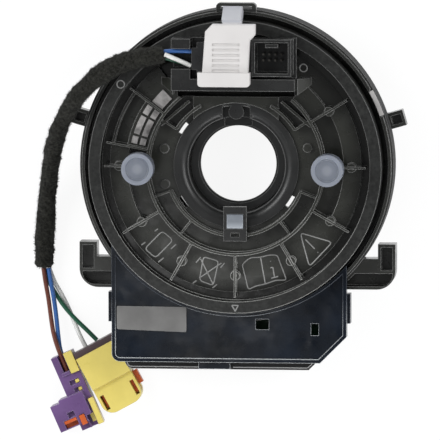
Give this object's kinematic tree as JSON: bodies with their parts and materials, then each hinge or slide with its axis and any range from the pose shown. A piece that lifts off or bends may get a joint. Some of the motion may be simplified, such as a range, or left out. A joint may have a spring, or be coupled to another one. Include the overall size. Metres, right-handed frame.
{
  "type": "steering clock spring",
  "caption": "Round spiral cable cassette for a steering wheel: ribbed rotor in a round stator with a sensor box, taped harness, airbag connectors and a pull-off transport lock.",
  "frame": {"origin": "on the axis of the shaft bore, at the rear face of the bore tube and the collar, where the part rests", "axes": "+Z along the spin axis from the column towards the steering wheel, +Y from the axis towards the transport lock"},
  "size_m": [0.1581, 0.1849, 0.0545],
  "materials": {
    "stator_black": "fine moulded satin",
    "rotor_black": "semi-gloss moulded",
    "cover_black": "glossy",
    "header_black": "satin",
    "board_green": "solder mask",
    "chip_black": "satin",
    "tin": "tin plated",
    "gear_natural": "natural acetal",
    "magnet_grey": "plain",
    "cable_film": "film",
    "clip_grey": "satin",
    "cap_silicone": "translucent satin",
    "lock_white": "satin",
    "plug_grey": "satin",
    "fleece_black": "fleece tape",
    "wire_brown": "wire insulation",
    "wire_blue": "wire insulation",
    "wire_green": "wire insulation",
    "wire_white": "wire insulation",
    "connector_yellow": "satin",
    "cell_brown": "satin",
    "connector_purple": "satin",
    "lock_orange": "satin"
  },
  "bodies": {
    "stator": {"stator_housing": "stator_black", "rear_shell": "stator_black", "sensor_cover": "cover_black", "circuit_board": "board_green", "angle_sensors": "chip_black", "vehicle_header": "header_black", "header_pins": "tin"},
    "rotor": {"rotor_disc": "rotor_black", "rotor_sleeve": "rotor_black", "drive_gear": "gear_natural", "hub_clip": "clip_grey", "clip_holder": "header_black", "socket_block": "rotor_black", "socket_pins": "tin", "harness_plug": "plug_grey", "contact_strips": "tin", "damping_cap_left": "cap_silicone", "damping_cap_right": "cap_silicone", "flat_cable": "cable_film", "lead_blue": "wire_blue", "lead_white": "wire_white", "lead_green": "wire_green", "taped_loom": "fleece_black", "wire_brown": "wire_brown", "wire_blue": "wire_blue", "wire_green": "wire_green", "wire_white": "wire_white", "yellow_connector": "connector_yellow", "yellow_cell_cap": "cell_brown", "purple_connector": "connector_purple", "purple_retainer": "connector_yellow"},
    "measuring_gear_a": {"measuring_gear_a": "gear_natural", "magnet_a": "magnet_grey"},
    "measuring_gear_b": {"measuring_gear_b": "gear_natural", "magnet_b": "magnet_grey"},
    "transport_lock": {"transport_lock": "lock_white"},
    "yellow_lock": {"yellow_lock": "lock_orange"},
    "purple_lock": {"purple_lock": "lock_orange"}
  },
  "joints": [
    {"name": "rotor_spin", "type": "hinge", "parent": "stator", "child": "rotor", "pos_m": [0, 0, 0], "axis": [0, 0, 1], "range_deg": [-900, 900], "deforming": ["flat_cable", "taped_loom", "wire_brown", "wire_blue", "wire_green", "wire_white"]},
    {"name": "gear_a_spin", "type": "hinge", "parent": "stator", "child": "measuring_gear_a", "pos_m": [-0.01395, -0.02991, 0], "axis": [0, 0, 1], "range_deg": [-1810, 1810]},
    {"name": "gear_b_spin", "type": "hinge", "parent": "stator", "child": "measuring_gear_b", "pos_m": [0.01437, -0.03081, 0], "axis": [0, 0, 1], "range_deg": [-1660, 1660]},
    {"name": "lock_pull", "type": "slide", "parent": "rotor", "child": "transport_lock", "axis": [0, 0, 1], "range_m": [0, 0.03]},
    {"name": "yellow_lock_slide", "type": "slide", "parent": "rotor", "child": "yellow_lock", "axis": [0.8771, 0.4802, 0], "range_m": [0, 0.002]},
    {"name": "purple_lock_slide", "type": "slide", "parent": "rotor", "child": "purple_lock", "axis": [0.4003, -0.9164, 0], "range_m": [0, 0.0018]}
  ],
  "couplings": [
    {"joint": "gear_a_spin", "follows": "rotor_spin", "ratio": -2},
    {"joint": "gear_b_spin", "follows": "rotor_spin", "ratio": -1.8333}
  ]
}
